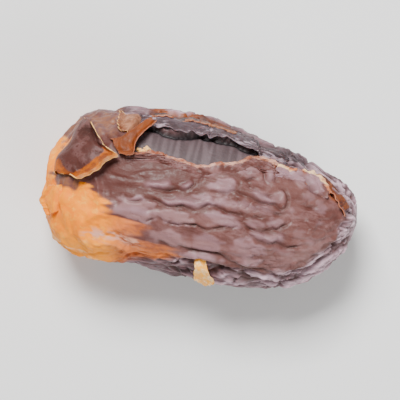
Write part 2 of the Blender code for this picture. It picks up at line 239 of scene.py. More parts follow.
# Each flap of loose skin: its root, sunk in the body, and its free edge, seen from above and
# given from left to right, with how high the free edge stands off, how far it curls up and how
# ragged it is, as a share of the flap's width.
# The lips lie close to the skin along the tear, and keep its height.
FLAPS = {
    "fold": {"root": [(-23.0, -0.2), (-23.8, 3.0), (-23.1, 5.4), (-22.0, 7.2), (-20.2, 8.8)],
             "edge": [(-19.3, 0.2), (-17.4, 0.1), (-13.5, 3.8), (-15.6, 5.2), (-18.0, 7.7)],
             "lift": 1.25, "curl": 0.55, "ragged": 0.07},
    "wing": {"root": [(-15.7, 7.1), (-13.2, 8.6), (-10.4, 10.7)],
             "edge": [(-13.2, 4.5), (-11.3, 4.6), (-11.1, 7.0), (-8.9, 9.9)],
             "lift": 1.2, "curl": 0.4, "ragged": 0.06},
    "sheet": {"root": [(-12.4, 8.0), (-11.4, 9.2), (-10.6, 10.8)],
              "edge": [(-14.2, 8.0), (-14.7, 9.2), (-14.6, 10.6)],
              "lift": 0.7, "curl": 0.4, "ragged": 0.1},
    "leaf": {"root": [(-21.0, -1.6), (-20.6, -3.6), (-20.8, -5.6)],
             "edge": [(-22.3, -2.0), (-23.0, -4.3), (-22.0, -6.4)],
             "lift": 0.9, "curl": 0.3, "ragged": 0.08},
    "flake": {"root": [(1.1, -8.5), (1.8, -8.4), (2.7, -8.8)],
              "edge": [(1.6, -11.0), (3.2, -11.5), (4.9, -10.9)],
              "lift": 0.6, "curl": 0.2, "ragged": 0.12},
    "rim": {"root": [(17.0, 8.6), (20.0, 7.2), (22.8, 4.9)],
            "edge": [(17.0, 6.6), (19.2, 5.1), (21.6, 2.6)],
            "lift": 0.5, "curl": 0.7, "ragged": 0.12},
}
LIPS = {
    "near": {"root": [(-12.4, 3.8), (-9.4, 4.3), (-6.9, 4.6), (-4.7, 4.3), (-2.7, 4.1), (-0.2, 4.1),
                      (1.6, 4.8), (3.8, 5.3), (5.1, 5.8), (6.4, 6.5), (8.0, 6.7), (10.5, 6.4)],
             "edge": [(-12.4, 5.1), (-9.4, 5.9), (-6.9, 6.1), (-4.7, 5.8), (-2.7, 5.6), (-0.6, 5.6),
                      (1.1, 6.4), (3.5, 7.0), (4.6, 7.5), (6.0, 8.2), (8.0, 8.4), (10.5, 7.9)],
             "lift": 0.24, "curl": 0.12, "ragged": 0.14},
    "far": {"root": [(-11.5, 11.8), (-8.0, 12.0), (-5.0, 12.1), (-1.5, 12.4), (1.8, 12.4), (4.5, 12.0),
                     (7.2, 11.4), (9.6, 10.7), (12.2, 9.9)],
            "edge": [(-11.3, 9.9), (-8.2, 9.9), (-5.3, 9.8), (-1.5, 10.2), (1.8, 10.4), (4.2, 10.0),
                     (6.7, 9.6), (9.0, 9.1), (11.8, 8.7)],
            "lift": 0.22, "curl": 0.08, "ragged": 0.11},
    "layer": {"root": [(-10.4, 12.0), (-6.0, 12.3), (-1.0, 12.3), (3.6, 11.9)],
              "edge": [(-9.8, 11.1), (-5.6, 11.2), (-0.8, 11.4), (3.2, 11.2)],
              "lift": 0.2, "curl": 0.14, "ragged": 0.16},
    "tip": {"root": [(10.4, 6.3), (12.8, 6.3), (15.2, 6.1), (17.2, 5.2), (18.6, 4.2)],
            "edge": [(10.2, 7.8), (12.9, 7.7), (15.4, 7.5), (17.5, 6.6), (18.9, 5.4)],
            "lift": 0.3, "curl": 0.14, "ragged": 0.12},
}
CRUMBS = [(-10.7, 6.1, 0.3), (-10.1, 5.9, 0.4), (-9.6, 6.4, 0.42), (-9.0, 6.2, 0.3), (-8.5, 6.0, 0.16)]
FLAP_THICKNESS = 0.16
FLAP_STEPS_ALONG = 72
FLAP_STEPS_OUT = 32
ROOT_SINK = 1.0
LIP_STEPS_ALONG = 220
LIP_STEPS_OUT = 12
LIP_SINK = 0.15


def smooth(low, high, value):
    """0 below low, 1 above high, and an even ease between."""
    share = min(max((value - low) / (high - low), 0.0), 1.0)
    return share * share * (3.0 - 2.0 * share)


def hill(gap, half_width):
    """1 where gap is 0, falling away to nothing past twice the half width."""
    return math.exp(-((gap / half_width) ** 2))


def span(start, end, ease, value):
    """1 between start and end, 0 outside, with an ease of that length at both."""
    return smooth(start, start + ease, value) * (1.0 - smooth(end - ease, end, value))


def drift(place):
    """A smooth random shift, about 0.5 at most each way, the same each run."""
    return Vector([noise.noise(place + Vector((0.0, 0.0, 40.0 * axis))) for axis in (1, 2, 3)])


def wander(x, size, row):
    """A smooth random number along x, about 0.5 at most each way."""
    return noise.noise(Vector((x / size, 7.3 * row, 0.0)))


# Curves seen from above.
def rounded(points, steps=40):
    """A smooth curve through plan points, as an array of closely spaced points."""
    ends = [points[0], *points, points[-1]]
    share = np.linspace(0.0, 1.0, steps, endpoint=False)[:, None]
    curve = []
    for before, start, end, after in zip(*(np.array(ends[i:len(ends) - 3 + i]) for i in range(4))):
        curve.append(start + 0.5 * share * (end - before)
                     + share**2 * (before - 2.5 * start + 2.0 * end - 0.5 * after)
                     + 0.5 * share**3 * (3.0 * start - before - 3.0 * end + after))
    return np.vstack([*curve, [points[-1]]])


def trace(lines, fade=1.6):
    """Closely spaced points along curved lines, in a tree to find the nearest of them, with
    their places, directions and strengths. A line fades out at its ends."""
    rows = []
    for line in lines:
        curve = rounded(line)
        direction = np.gradient(curve, axis=0)
        direction /= np.linalg.norm(direction, axis=1)[:, None]
        run = np.concatenate([[0.0], np.cumsum(np.linalg.norm(np.diff(curve, axis=0), axis=1))])
        strength = np.clip(np.minimum(run, run[-1] - run) / fade, 0.0, 1.0)
        rows += np.column_stack([curve, direction, strength]).tolist()
    tree = kdtree.KDTree(len(rows))
    for index, row in enumerate(rows):
        tree.insert((row[0], row[1], 0.0), index)
    tree.balance()
    return tree, rows


def nearest_line(traced, x, y):
    """How far to the left of the nearest line a plan point is, and the line's strength."""
    tree, rows = traced
    _, index, gap = tree.find((x, y, 0.0))
    line_x, line_y, along_x, along_y, strength = rows[index]
    left = (y - line_y) * along_x - (x - line_x) * along_y
    return math.copysign(gap, left), strength


def along_line(points, share):
    """The point at that share, from 0 to 1, of a smooth curve through plan points."""
    place = np.linspace(0.0, 1.0, len(points))
    return [float(np.interp(share, place, points[:, axis])) for axis in (0, 1)]


# The plump form under the wrinkles.
def girth(t, stem_bluntness=STEM_BLUNTNESS):
    """The share of the full girth at t, which runs from -1 at the stem to 1 at the tip."""
    bluntness = stem_bluntness if t < 0 else TIP_BLUNTNESS
    return math.sqrt(max(1.0 - abs(t) ** bluntness, 0.0))


def height_share(t):
    """The share of the full height at t: the stem end is rounder from the side."""
    return girth(t, STEM_BLUNTNESS_FROM_THE_SIDE)


def middle_line(t):
    """How far the fruit's middle line lies to +Y at t."""
    return (MIDDLE + STEM_BEND * smooth(-0.3, -1.0, t) + WAIST_BEND * smooth(0.1, 0.5, t)
            + TIP_BEND * smooth(0.62, 1.05, t))


def plain_point(t, up, side):
    """The point of the smooth form at t, in the direction (side, up) round the axis."""
    squareness = (abs(up) ** SECTION_POWER + abs(side) ** SECTION_POWER) ** (1.0 / SECTION_POWER)
    return Vector((HALF_LENGTH * t,
                   middle_line(t) + HALF_WIDTH * girth(t) * side / squareness,
                   HALF_HEIGHT * height_share(t) * up / squareness))


def plain_top(x, y):
    """The height of the smooth form over a plan point, or of its rim past the outline."""
    t = min(max(x / HALF_LENGTH, -0.985), 0.985)
    reach = min(abs(y - middle_line(t)) / (HALF_WIDTH * girth(t)), 0.985)
    return HALF_HEIGHT * height_share(t) * (1.0 - reach**SECTION_POWER) ** (1.0 / SECTION_POWER)


def plain_normal(x, y, step=0.6):
    """The direction straight out of the smooth form's upper side over a plan point."""
    slope_x = plain_top(x + step, y) - plain_top(x - step, y)
    slope_y = plain_top(x, y + step) - plain_top(x, y - step)
    return Vector((-slope_x, -slope_y, 2.0 * step)).normalized()


# Relief, each as a height in millimetres over the smooth form.
def wrinkle_space(point, up, side):
    """Where a point lies in the space that the wrinkles are drawn in. They run together at
    the two ends, as the skin does."""
    spread = 0.45 * HALF_WIDTH + 0.55 * math.hypot(point.y - middle_line(0.0), point.z)
    return Vector((point.x, spread * side, spread * up))


def folds(place):
    """Broad folds that run lengthwise."""
    stretched = Vector((place.x / FOLD_LENGTH, place.y / FOLD_WIDTH, place.z / FOLD_WIDTH))
    bent = stretched + 0.5 * drift(stretched * 0.7)
    return FOLD_HEIGHT * noise.noise(bent)


def lobes(place):
    """Soft rounded swellings of the skin."""
    spot = place / LOBE_SIZE
    return LOBE_HEIGHT * noise.noise(spot + 0.7 * drift(spot * 0.8))


def border_gap(place, length, width, bend):
    """How far a point is from the border of its cell, in a pattern of cells of that size."""
    scale = Vector((1.0 / length, 1.0 / width, 1.0 / width))
    spot = place * scale
    spot += bend * (0.6 * drift(spot * 0.9) + 0.2 * drift(spot * 2.7))
    centres = noise.voronoi(spot)[1]
    across = (centres[1] - centres[0]).normalized()
    to_border = ((centres[0] + centres[1]) / 2 - spot).dot(across)
    return to_border / (across * scale).length


def creases(x, y):
    """Height of the main creases and narrow folds of the upper side, with the profile of a crease's
    bottom, which also sets the painted shade in it, how far the nearest crease is, and how much a fold's
    crest shows, which also sets the painted highlight on it."""
    shift = 0.9 * drift(Vector((x, y, 0.0)) / 3.2) + 0.2 * drift(Vector((x, y, 5.0)) / 1.0)
    left, strength = nearest_line(CREASE_LINES, x + shift.x, y + shift.y)
    gap = abs(left)
    depth = strength * (0.75 + 0.9 * wander(x + y, 2.6, 3))
    line = depth * math.exp(-((gap / CREASE_HALF_WIDTH) ** 1.4))
    shoulder = (0.17 if left > 0 else 0.06) * depth * hill(gap - 0.65, 0.45)
    to_ridge, ridge_strength = nearest_line(RIDGE_LINES, x + 0.6 * shift.x, y + 0.6 * shift.y)
    crest = ridge_strength * hill(to_ridge, RIDGE_HALF_WIDTH)
    height = shoulder + RIDGE_HEIGHT * crest - CREASE_DEPTH * line
    return height, line, gap + 2.0 * (1.0 - strength), crest


def plates(x, y):
    """How much a plan point is on one of the pale plates, with their bloom and painted sheen, from 0 to 1.
    """
    shift = 0.6 * drift(Vector((x, y, 3.0)) / 1.5) + 0.3 * drift(Vector((x, y, 8.0)) / 0.6)
    uneven = 0.6 * noise.noise(Vector((x / 1.6, y / 0.9, 11.0)))
    most = 0.0
    for middle_x, middle_y, half_length, half_width, turn, pale in PLATES:
        along_x, along_y = math.cos(math.radians(turn)), math.sin(math.radians(turn))
        off_x, off_y = x + shift.x - middle_x, y + shift.y - middle_y
        if abs(off_x) + abs(off_y) < 7.0:
            out = math.hypot((off_x * along_x + off_y * along_y) / half_length,
                             (off_y * along_x - off_x * along_y) / half_width) + uneven
            most = max(most, pale * smooth(1.0 + 0.3 / half_width, 1.0 - 0.35 / half_width, out))
    return most


def torn_back(x, y):
    """Height of the tear along the back and of the layers of skin at its edges, with the
    masks of their colours."""
    ragged = 0.5 * wander(x, 1.5, 1) + 0.25 * wander(x, 0.5, 2)
    near = y - float(np.interp(x, *NEAR_EDGE)) - ragged
    far = y - float(np.interp(x, *FAR_EDGE)) - 0.5 * wander(x, 1.6, 4) - 0.1 * wander(x, 0.5, 5)
    bare = span(*TEAR_ENDS, 2.0, x) * smooth(0.0, 0.25, near) * smooth(0.0, 0.2, -far)
    under = bare * smooth(-0.9, -0.3, far)
    lip = span(*LIP_ENDS, 1.2, x) * hill(near + 0.15, 0.22) * (1.0 - bare)
    step = span(*TIP_STEP_ENDS, 1.5, x) * smooth(0.0, 0.2, near) * math.exp(-max(near, 0.0) / 0.7)
    step *= 1.0 - bare
    strip = span(*STRIP_ENDS, 2.0, x) * smooth(0.0, 0.12, far) * (1.0 - smooth(1.2, 2.2, far))
    seam = span(*SEAM_ENDS, 2.0, x) * hill(far - 1.3 - 0.5 * wander(x, 2.0, 6), 0.16)
    layer = span(*LAYER_ENDS, 1.5, x) * smooth(1.3, 1.5, far) * (1.0 - smooth(2.2, 2.6, far))
    height = TEAR_LIP * lip - SEAM_DEPTH * seam - TIP_STEP * step
    height -= TEAR_DEPTH * bare + TEAR_UNDERCUT * under
    return height, {"bare": bare, "lip": lip, "strip": strip * (1.0 - 0.8 * seam), "layer": layer,
                    "shade": max(under, seam, 0.8 * step)}


def loose(x, y, up):
    """1 where the skin has come off the flesh as a blister, round the stem end and low on
    the far side, and 0 where it clings."""
    border = -15.0 + 6.5 * smooth(0.0, -9.0, y) + 1.5 * noise.noise(Vector((0.0, y / 3.0, 2.0)))
    stem_end = 1.0 - smooth(border - 1.5, border + 1.5, x)
    far_side = smooth(0.55, 1.0, hill(x - 5.0, 8.0)) * smooth(7.0, 11.0, y)
    return max(stem_end, far_side * smooth(0.1, -0.3, up))


def crumple(point):
    """Sharp-edged folds, as in stiff dry skin."""
    spot = point / CRUMPLE_SIZE
    coarse = abs(noise.noise(spot + 0.5 * drift(spot)))
    fine = abs(noise.noise(2.1 * spot + 0.5 * drift(2.0 * spot)))
    finest = abs(noise.noise(4.6 * spot + 0.6 * drift(4.0 * spot)))
    return CRUMPLE_HEIGHT * (0.25 - coarse - 0.4 * fine - 0.18 * finest), 1.0 - min(1.0, 3.0 * finest)


def fine_wrinkles(place):
    """Short sharp wrinkles, as on the flanks, from 0 in a wrinkle's bottom to 1."""
    spot = Vector((place.x / FINE_LENGTH, place.y / FINE_WIDTH, place.z / FINE_WIDTH))
    spot += 0.7 * drift(spot * 0.6)
    coarse = min(1.0, 4.0 * abs(noise.noise(spot)))
    return 0.6 * coarse + 0.4 * min(1.0, 4.0 * abs(noise.noise(2.3 * spot)))


def scar(t, point):
    """The round hollow that the stem left, with its lip and the stub in its middle."""
    if t > 0:
        return 0.0
    out = math.hypot(point.y - middle_line(-1.0), point.z)
    hollow = -SCAR_DEPTH * (1.0 - smooth(0.55 * SCAR_RADIUS, SCAR_RADIUS, out))
    lip = 0.35 * hill(out - 1.25 * SCAR_RADIUS, 0.7)
    stub = 0.6 * SCAR_DEPTH * (1.0 - smooth(0.15 * SCAR_RADIUS, 0.5 * SCAR_RADIUS, out))
    return hollow + lip + stub


def tip_nub(t, point):
    """The small hard point at the tip."""
    if t < 0:
        return 0.0
    out = math.hypot(point.y - middle_line(1.0), point.z)
    return TIP_NUB_HEIGHT * hill(out, TIP_NUB_RADIUS)


# The lines and borders above, made ready to measure from.
AMBER_BORDER_X, AMBER_BORDER_Y = np.array(AMBER_BORDER).T
TIP_RIM_X, TIP_RIM_Y = np.array(TIP_RIM).T
AMBER_RIM_LINE = trace([AMBER_RIM])
STREAK_LINES = trace(STREAKS, fade=1.2)
CREASE_LINES = trace(CREASES)
RIDGE_LINES = trace(RIDGES, fade=1.0)
NEAR_EDGE = rounded(TEAR_NEAR_EDGE).T
FAR_EDGE = rounded(TEAR_FAR_EDGE).T


def amber_skin(x, y, up):
    """1 where the loose skin is thin and amber, round the stem end and in tongues along the
    near side, and 0 elsewhere."""
    below = smooth(0.2, -0.2, up)
    border = float(np.interp(y, AMBER_BORDER_Y, AMBER_BORDER_X))
    border = border * (1.0 - below) + (-16.5 + 3.0 * wander(y + 9.0 * up, 3.0, 11)) * below
    hollow_out = math.hypot((x - AMBER_HOLLOW[0]) / AMBER_HOLLOW_SIZE[0],
                            (y - AMBER_HOLLOW[1]) / AMBER_HOLLOW_SIZE[1])
    outside = smooth(0.8, 1.2, hollow_out + 0.5 * wander(x, 1.0, 12))
    ragged = 2.2 * noise.noise(Vector((x / 7.0, y / 0.8, up * 2.0 + 5.0)))
    ragged += 0.7 * noise.noise(Vector((x / 2.0, y / 0.5, 9.0)))
    ease = 0.5 + 1.3 * smooth(-2.5, -5.0, y)
    return (1.0 - smooth(-ease, ease, x - border + ragged)) * max(outside, below)


def flank_share(point, place, normal, seen, bare):
    """1 on the steep sides and past the tip's rim, where the skin is grey and finely wrinkled,
    and 0 on the upper skin, the bare flesh and the stem end."""
    steep = normal.z + 0.12 * noise.noise(place / 3.0)
    side = (1.0 - smooth(*FLANK_SLOPE, steep)) * (1.0 - bare)
    past_rim = point.x - float(np.interp(point.y, TIP_RIM_Y, TIP_RIM_X)) + 0.4 * wander(point.y, 1.5, 15)
    stem_end = seen * smooth(*STEM_END, point.x)
    return max(side, seen * smooth(-0.3, 0.5, past_rim)) * (1.0 - stem_end)


def fold_highlight(x, y):
    """How much a plan point lies on one of the raised folds of the flank, which carry a painted highlight.
    """
    to_streak, strength = nearest_line(STREAK_LINES, x, y + 0.5 * wander(x, 1.5, 14))
    return strength * hill(to_streak, STREAK_HALF_WIDTH)


def low_rim_highlight(x, y):
    """How much a plan point lies on the painted highlight along the low rim of the amber skin."""
    to_rim, strength = nearest_line(AMBER_RIM_LINE, x, y)
    return 0.8 * strength * hill(to_rim + 0.3 * wander(x, 1.5, 16), 0.13)


def stem_end_masks(x, y, seen, top):
    """The masks of the colours towards the stem end: orange tongues, painted light that makes the low side
    paler, a painted highlight along its rim, painted pink highlight streaks, redder skin beside the tear,
    and tan skin behind and under the flaps."""
    near_rim = seen and x < -11.0 and y < -5.0
    return {"tongue": smooth(*TONGUES, x),
            # Painted light that makes the amber of the low side paler.
            "low": 0.4 * seen * smooth(*PAINTED_LIGHT_LOW_Y, y) * smooth(*PAINTED_LIGHT_LOW_X, x),
            # Painted highlight along the amber skin's low rim.
            "rim_highlight": low_rim_highlight(x, y) if near_rim else 0.0,
            "warm": top * span(*RED_X, 3.0, x) * smooth(*RED_Y, y),
            # Painted pink highlight streaks.
            "streak": span(*PINK_X, 2.0, x) * hill(y - PINK_Y + 0.6 * wander(x, 3.0, 13), 0.8),
            "tan": seen * max(span(*TAN_BACK_X, 1.5, x) * smooth(*TAN_BACK_Y, y),
                              smooth(*TAN_HOLLOW_X, x) * smooth(*TAN_HOLLOW_Y, y))}


def relief(t, up, side, point, normal):
    """The whole height of the skin over the smooth form, and the masks of its colours."""
    place = wrinkle_space(point, up, side)
    seen = smooth(*UPPER_SIDE, up)
    torn, masks = torn_back(point.x, point.y)
    masks = {name: seen * mask for name, mask in masks.items()}
    bare = masks["bare"]
    blister = loose(point.x, point.y, up)
    pressed = 0.8 * smooth(*UNDERSIDE, up)
    clings = (1.0 - bare) * (1.0 - 0.75 * blister) * (1.0 - pressed)
    flank = flank_share(point, place, normal, seen, bare)
    top = seen * (1.0 - flank)

    groove = hill(border_gap(place, PLATE_LENGTH, PLATE_WIDTH, 1.0), GROOVE_HALF_WIDTH)
    groove *= 1.0 - 0.85 * top
    creased, line, gap, crest = creases(point.x, point.y) if seen else (0.0, 0.0, 9.0, 0.0)
    plated = seen * clings * plates(point.x, point.y) if seen else 0.0
    fine = fine_wrinkles(place)
    crack = hill(border_gap(place, CRACK_LENGTH, CRACK_WIDTH, 1.3), CRACK_HALF_WIDTH)
    crack *= smooth(-0.1, 0.25, noise.noise(place / 4.0 + LUMP_SHIFT))
    crack *= top * span(*CRACKED_X, 3.0, point.x)
    crumpled, crinkle = crumple(point)
    streak = seen * flank * fold_highlight(point.x, point.y) if seen and flank else 0.0
    knobs = top * smooth(0.12, 0.4, noise.noise(place / KNOB_SIZE)) * smooth(*KNOBBY_TIP, point.x)

    even = 1.0 - 0.7 * top * smooth(*EVEN_TIP, point.x) - 0.4 * top * smooth(*EVEN_STEM_HALF, point.x)
    calm = 1.0 - 0.6 * top * smooth(*CALM_STEM_HALF, point.x)
    height = LUMP_HEIGHT * noise.noise(point / LUMP_SIZE + LUMP_SHIFT)
    height += clings * even * ((1.0 - 0.8 * top) * folds(place) + (1.0 - 0.65 * top) * lobes(place))
    height += clings * (top * creased + KNOB_HEIGHT * knobs - GROOVE_DEPTH * groove - CRACK_DEPTH * crack)
    height += clings * calm * (0.2 + 0.8 * flank) * FINE_HEIGHT * (fine - 0.7)
    height += blister * (BLISTER_HEIGHT + crumpled)
    height += PLATE_HEIGHT * plated + STREAK_HEIGHT * streak + seen * torn
    height = (1.0 - 0.85 * smooth(*END_CAPS, abs(t))) * height + scar(t, point) + tip_nub(t, point)
    dent = hill(point.y - STEM_DENT_Y, 3.2) * smooth(*STEM_DENT_X, point.x)
    height -= STEM_DENT * dent * smooth(-0.6, 0.2, up)

    masks.update(stem_end_masks(point.x, point.y, seen, top))
    masks["amber"] = amber_skin(point.x, point.y, up) * (1.0 - bare)
    # Painted shade in the grooves, creases and cracks, and in the bottoms of the flank's fine wrinkles.
    masks["groove"] = clings * max(groove, top * line, 0.4 * crack, 0.75 * flank * (1.0 - fine) ** 2)
    # Paler skin between the creases, with a painted highlight on the fold crests.
    masks["plate"] = top * clings * max(smooth(0.2, 1.1, gap), crest) * smooth(*BROWN_TIP, point.x)
    # Painted highlight on the fold crests and on the tops of the flank's fine wrinkles.
    masks["crest"] = max(top * clings * crest, flank * smooth(0.75, 1.0, fine))
    # Bloom with painted sheen on the plates.
    masks["plated"] = plated
    masks["flank"] = flank
    # Painted highlight on the flank towards the tip and along its raised folds.
    shiny = 0.95 * flank * seen * smooth(*SHINY_FLANK, point.x) * smooth(0.5, 0.9, fine)
    masks["sheen"] = max(shiny, streak)
    masks["crinkle"] = crinkle
    masks["rib"] = 0.5 + noise.noise(Vector((point.x / 0.7, point.y / 5.0, 2.0)))
    return height, masks


# Meshes.
def new_object(name, shape):
    """The object of a finished bmesh, smooth shaded."""
    mesh = bpy.data.meshes.new(name)
    shape.to_mesh(mesh)
    shape.free()
    mesh.shade_smooth()
    piece = bpy.data.objects.new(name, mesh)
    bpy.context.scene.collection.objects.link(piece)
    return piece


def store(piece, name, values):
    """Keeps a number for each vertex, for the materials to read."""
    attribute = piece.data.attributes.new(name, "FLOAT", "POINT")
    attribute.data.foreach_set("value", np.array(values, np.float32))


def cube_of_grids():
    """A cube of fine grids, with more facets along X than round it."""
    shape = bmesh.new()
    quarter = math.pi / 2.0
    for turn in range(4):
        place = Matrix.Rotation(turn * quarter, 4, "X") @ Matrix.Translation((0.0, 0.0, 1.0))
        bmesh.ops.create_grid(shape, x_segments=FACETS_ALONG, y_segments=FACETS_ROUND, size=1.0,
                              matrix=place)
    for turn in (1, 3):
        place = Matrix.Rotation(turn * quarter, 4, "Y") @ Matrix.Translation((0.0, 0.0, 1.0))
        bmesh.ops.create_grid(shape, x_segments=FACETS_ROUND, y_segments=FACETS_ROUND, size=1.0,
                              matrix=place)
    bmesh.ops.remove_doubles(shape, verts=shape.verts[:], dist=1e-4)
    bmesh.ops.recalc_face_normals(shape, faces=shape.faces[:])
    return shape


def make_body():
    """The fruit: a cube rounded to a ball and drawn out to its form, then wrinkled along its
    normals."""
    shape = cube_of_grids()
    ways = []
    for vertex in shape.verts:
        ball = Vector([math.tan(share * math.pi / 4.0) for share in vertex.co]).normalized()
        out = math.hypot(ball.y, ball.z)
        side, up = (ball.y / out, ball.z / out) if out > 1e-6 else (0.0, 1.0)
        ways.append((ball.x, up, side))
        vertex.co = plain_point(ball.x, up, side)
    shape.normal_update()
    reliefs = [relief(*way, vertex.co, vertex.normal) for way, vertex in zip(ways, shape.verts)]
    rest_height = REST_CUT - HALF_HEIGHT
    for (height, _), vertex in zip(reliefs, shape.verts):
        vertex.co += height * vertex.normal
        vertex.co.z = max(vertex.co.z, rest_height)
        vertex.co = MM * (vertex.co - Vector((0.0, 0.0, rest_height)))
    body = new_object("date_skin", shape)
    for name in reliefs[0][1]:
        store(body, name, [masks[name] for _, masks in reliefs])
    return body


def ground_under(body):
    """A finder of how high the body's skin stands over the smooth form at a plan point."""
    mesh = body.data
    tree = BVHTree.FromPolygons([vertex.co for vertex in mesh.vertices],
                                [face.vertices[:] for face in mesh.polygons])

    def ground(x, y):
        hit = tree.ray_cast(Vector((x * MM, y * MM, 0.1)), Vector((0.0, 0.0, -1.0)))[0]
        plain = plain_top(x, y) + HALF_HEIGHT - REST_CUT
        return hit.z / MM - plain if hit else 0.0
    return ground


def flap_point(flap, along, out, ground=None):
    """A point of a flap: along runs down its length and out from its root to its free edge.
    With the ground given, the flap lies close to it."""
    side = min(max(along + 1.2 * flap["ragged"] * noise.noise(Vector((4.0 * out, round(along), 9.0)))
                   * abs(2.0 * along - 1.0), 0.0), 1.0)
    root_x, root_y = along_line(flap["root_curve"], side)
    edge_x, edge_y = along_line(flap["edge_curve"], side)
    ragged = 1.0 + out * flap["ragged"] * (
        noise.noise(Vector((3.0 * along, root_x / 3.0, root_y / 3.0)))
        + noise.noise(Vector((8.0 * along, root_x, 0.0)))
        + 0.5 * noise.noise(Vector((24.0 * along, root_x, 5.0))))
    x = root_x + (edge_x - root_x) * out * ragged
    y = root_y + (edge_y - root_y) * out * ragged
    height = -ROOT_SINK + (ROOT_SINK + flap["lift"]) * smooth(0.0, 0.35, out)
    height += flap["curl"] * (smooth(0.82, 1.0, out) - 0.5 * hill(out - 0.8, 0.08))
    spot = Vector((x, y, 3.0)) / 2.6
    height += 0.5 * smooth(0.1, 0.4, out) * (0.2 - abs(noise.noise(spot + 0.4 * drift(spot))))
    if ground:
        uneven = 1.0 + 1.2 * out * noise.noise(Vector((x / 0.8, y / 0.8, 6.0)))
        held = min(out, 0.65)
        over = root_x + (edge_x - root_x) * held, root_y + (edge_y - root_y) * held
        height = ground(*over) * plain_normal(*over).z - LIP_SINK
        height += (LIP_SINK + flap["lift"] * uneven) * smooth(0.0, 0.5, out)
        height += flap["curl"] * uneven * smooth(0.6, 1.0, out)
    return Vector((x, y, plain_top(x, y))) + height * plain_normal(x, y)


def make_flap(name, flap, steps, ground=None):
    """A thin curled sheet of skin."""
    shape = bmesh.new()
    bmesh.ops.create_grid(shape, x_segments=steps[0], y_segments=steps[1], size=0.5)
    flap = {**flap, "root_curve": rounded(flap["root"]), "edge_curve": rounded(flap["edge"])}
    lift = Vector((0.0, 0.0, HALF_HEIGHT - REST_CUT))
    outs, alongs = [], []
    for vertex in shape.verts:
        along, out = vertex.co.x + 0.5, vertex.co.y + 0.5
        alongs.append(along)
        outs.append(out)
        vertex.co = MM * (flap_point(flap, along, out, ground) + lift)
    piece = new_object(name, shape)
    store(piece, "out", outs)
    store(piece, "along", alongs)
    thicken = piece.modifiers.new("thickness", "SOLIDIFY")
    thicken.thickness = FLAP_THICKNESS * MM
    thicken.offset = 0.0
    thicken.material_offset_rim = 1
    return piece


def make_crumbs(ground):
    """Crumbs of dry skin by the tear."""
    shape = bmesh.new()
    for x, y, size in CRUMBS:
        made = bmesh.ops.create_icosphere(shape, subdivisions=3, radius=1.0)["verts"]
        middle = Vector((x, y, plain_top(x, y) + ground(x, y) + HALF_HEIGHT - REST_CUT + 0.5 * size))
        for vertex in made:
            rough = 1.0 + 0.9 * noise.noise(1.3 * vertex.co + Vector((x, y, 0.0)))
            vertex.co = MM * (middle + size * rough * Vector((
                1.2 * vertex.co.x, vertex.co.y, 0.7 * vertex.co.z)))
    return new_object("crumbs", shape)


